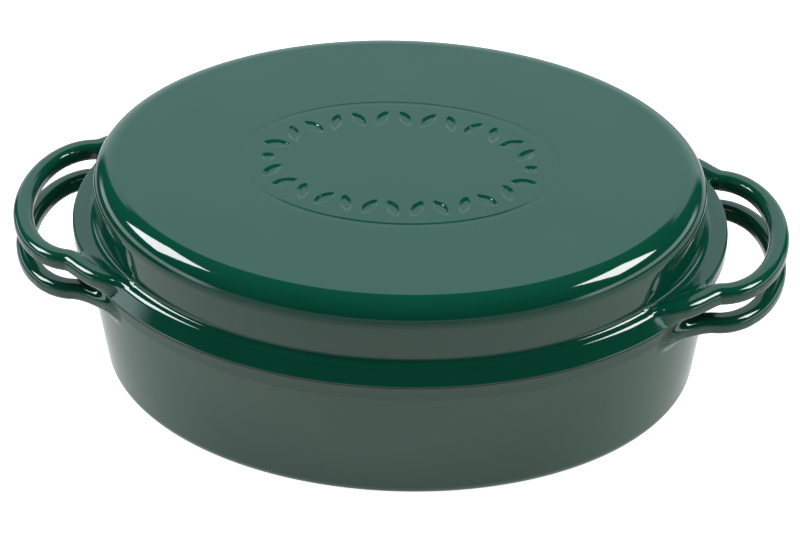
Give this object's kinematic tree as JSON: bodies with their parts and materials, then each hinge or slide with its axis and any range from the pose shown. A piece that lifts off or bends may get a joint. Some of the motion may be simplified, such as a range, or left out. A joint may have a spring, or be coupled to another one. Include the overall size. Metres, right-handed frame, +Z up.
{
  "type": "covered casserole",
  "caption": "Oval enamelled cast-iron casserole with a deep domed lid; pot and lid each have a loop handle at both ends.",
  "frame": {"origin": "centre of the pot's base, on the surface it stands on", "axes": "+Z up; +X along the oval's long axis, through the loops; +Y along its short axis"},
  "size_m": [0.415, 0.2624, 0.13],
  "materials": {
    "green_enamel": "high-gloss dark green vitreous enamel fired on cast iron",
    "black_enamel": "matt black vitreous enamel fired on cast iron"
  },
  "bodies": {
    "pot": {"pot_casting": "green_enamel", "pot_lining": "black_enamel"},
    "lid": {"lid_casting": "green_enamel", "lid_lining": "black_enamel"}
  },
  "joints": [
    {"name": "lid_lift", "type": "slide", "parent": "pot", "child": "lid", "axis": [0, 0, 1], "range_m": [0, 0.12]}
  ]
}
